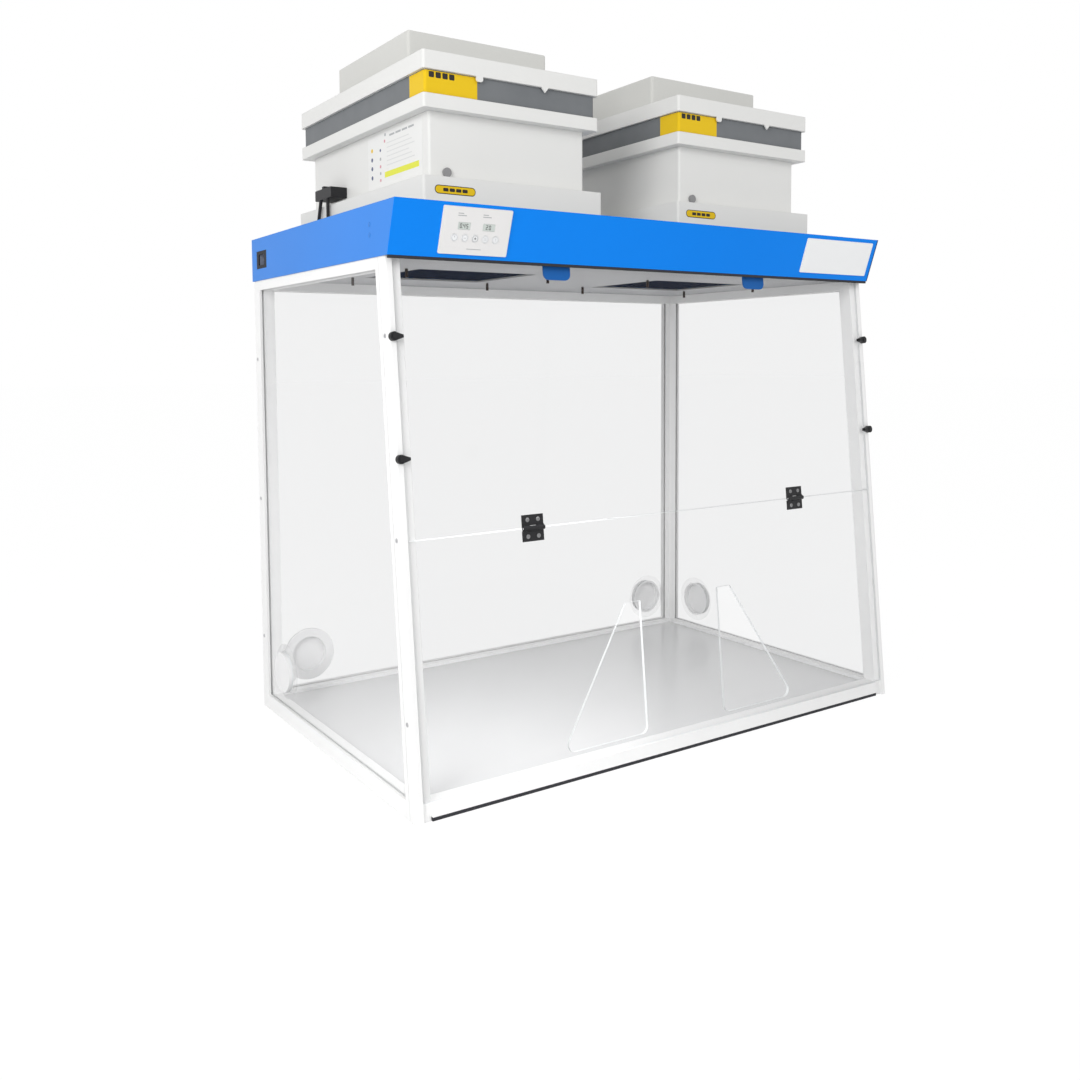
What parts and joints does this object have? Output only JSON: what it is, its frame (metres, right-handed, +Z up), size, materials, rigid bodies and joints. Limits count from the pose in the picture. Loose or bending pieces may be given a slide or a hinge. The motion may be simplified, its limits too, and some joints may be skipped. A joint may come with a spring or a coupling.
{
  "type": "laboratory fume hood",
  "caption": "Bench-top filtering fume hood: clear chamber in a white frame, blue head with control plate, folding front flap with arm openings, square filter columns on top.",
  "frame": {"origin": "on the bench, in the middle of the footprint, level with the underside of the frame", "axes": "+X to the user's right along the front, +Y from the front to the back, +Z up"},
  "size_m": [1.009, 0.616, 1.154],
  "materials": {
    "white_profile": "smooth white powder coat",
    "light_grey_laminate": "smooth light grey laminate",
    "clear_acrylic": "clear polished acrylic",
    "clouded_plastic": "clouded white plastic",
    "black_rubber": "soft black rubber",
    "black_plastic": "fine matt black",
    "steel": "plain steel",
    "blue_paint": "smooth satin blue paint",
    "grey_steel": "smooth grey paint",
    "filter_mat": "coarse dark fibre",
    "control_film": "smooth white film",
    "bare_white": "smooth white film",
    "display_grey": "clear window over a pale display",
    "key_white": "smooth matt",
    "circuit_board": "varnished",
    "column_cream": "smooth off-white powder coat",
    "filter_grey": "smooth grey paint",
    "carbon": "packed grains",
    "motor_metal": "cast aluminium",
    "wheel_black": "moulded black plastic",
    "plug_black": "smooth black rubber"
  },
  "bodies": {
    "hood": {"front_left_post": "white_profile", "front_right_post": "white_profile", "rear_left_post": "white_profile", "rear_right_post": "white_profile", "left_bottom_rail": "white_profile", "right_bottom_rail": "white_profile", "front_bottom_rail": "white_profile", "rear_bottom_rail": "white_profile", "top_rails": "white_profile", "work_surface": "light_grey_laminate", "back_panel": "clear_acrylic", "left_panel": "clear_acrylic", "right_panel": "clear_acrylic", "upper_front_panel": "clear_acrylic", "port_plugs": "clouded_plastic", "base_seal_strips": "black_rubber", "fascia_gasket": "black_rubber", "hinge_upper_leaves": "black_plastic", "power_inlet": "black_plastic", "fan_connector": "black_plastic", "hinge_pins": "steel", "latch_studs": "steel", "front_fascia": "blue_paint", "head_casing": "blue_paint", "panel_catches": "blue_paint", "ceiling_panel": "grey_steel", "prefilter_mats": "filter_mat", "control_plate": "control_film", "blank_plate": "bare_white", "display_windows": "display_grey", "control_board": "circuit_board", "left_column_base": "column_cream", "right_column_base": "column_cream", "left_filter_module": "column_cream", "right_filter_module": "column_cream", "left_column_flange": "column_cream", "right_column_flange": "column_cream", "left_fan_module": "column_cream", "right_fan_module": "column_cream", "left_fan_cap": "column_cream", "right_fan_cap": "column_cream", "left_filter_band": "filter_grey", "right_filter_band": "filter_grey", "carbon_filters": "carbon", "fan_motors": "motor_metal", "sampling_plugs": "plug_black"},
    "flap": {"lower_front_flap": "clear_acrylic", "hinge_lower_leaves": "black_plastic"},
    "upper_left_latch": {"latch_upper_left": "black_plastic"},
    "lower_left_latch": {"latch_lower_left": "black_plastic"},
    "upper_right_latch": {"latch_upper_right": "black_plastic"},
    "lower_right_latch": {"latch_lower_right": "black_plastic"},
    "left_fan_wheel": {"left_impeller": "wheel_black"},
    "right_fan_wheel": {"right_impeller": "wheel_black"},
    "control_key_1": {"key_1": "key_white"},
    "control_key_2": {"key_2": "key_white"},
    "control_key_3": {"key_3": "key_white"},
    "control_key_4": {"key_4": "key_white"},
    "control_key_5": {"key_5": "key_white"}
  },
  "joints": [
    {"name": "flap_hinge", "type": "hinge", "parent": "hood", "child": "flap", "pos_m": [0, -0.27452, 0.38935], "axis": [-1, 0, 0], "range_deg": [0, 165]},
    {"name": "upper_left_latch_turn", "type": "hinge", "parent": "hood", "child": "upper_left_latch", "pos_m": [-0.4965, -0.24768, 0.67338], "axis": [0, -0.9955, 0.0951], "range_deg": [0, 90]},
    {"name": "lower_left_latch_turn", "type": "hinge", "parent": "hood", "child": "lower_left_latch", "pos_m": [-0.4965, -0.26393, 0.50338], "axis": [0, -0.9955, 0.0951], "range_deg": [0, 90]},
    {"name": "upper_right_latch_turn", "type": "hinge", "parent": "hood", "child": "upper_right_latch", "pos_m": [0.4965, -0.24768, 0.67338], "axis": [0, 0.9955, -0.0951], "range_deg": [0, 90]},
    {"name": "lower_right_latch_turn", "type": "hinge", "parent": "hood", "child": "lower_right_latch", "pos_m": [0.4965, -0.26393, 0.50338], "axis": [0, 0.9955, -0.0951], "range_deg": [0, 90]},
    {"name": "key_1_press", "type": "slide", "parent": "hood", "child": "control_key_1", "axis": [0, 0.9487, 0.3162], "range_m": [0, 0.0008], "stiffness_N_per_m": 500},
    {"name": "key_2_press", "type": "slide", "parent": "hood", "child": "control_key_2", "axis": [0, 0.9487, 0.3162], "range_m": [0, 0.0008], "stiffness_N_per_m": 500},
    {"name": "key_3_press", "type": "slide", "parent": "hood", "child": "control_key_3", "axis": [0, 0.9487, 0.3162], "range_m": [0, 0.0008], "stiffness_N_per_m": 500},
    {"name": "key_4_press", "type": "slide", "parent": "hood", "child": "control_key_4", "axis": [0, 0.9487, 0.3162], "range_m": [0, 0.0008], "stiffness_N_per_m": 500},
    {"name": "key_5_press", "type": "slide", "parent": "hood", "child": "control_key_5", "axis": [0, 0.9487, 0.3162], "range_m": [0, 0.0008], "stiffness_N_per_m": 500},
    {"name": "left_fan_turn", "type": "hinge", "parent": "hood", "child": "left_fan_wheel", "pos_m": [-0.248, 0.0595, 1.12], "axis": [0, 0, 1], "continuous": true},
    {"name": "right_fan_turn", "type": "hinge", "parent": "hood", "child": "right_fan_wheel", "pos_m": [0.248, 0.0595, 1.12], "axis": [0, 0, 1], "continuous": true}
  ]
}
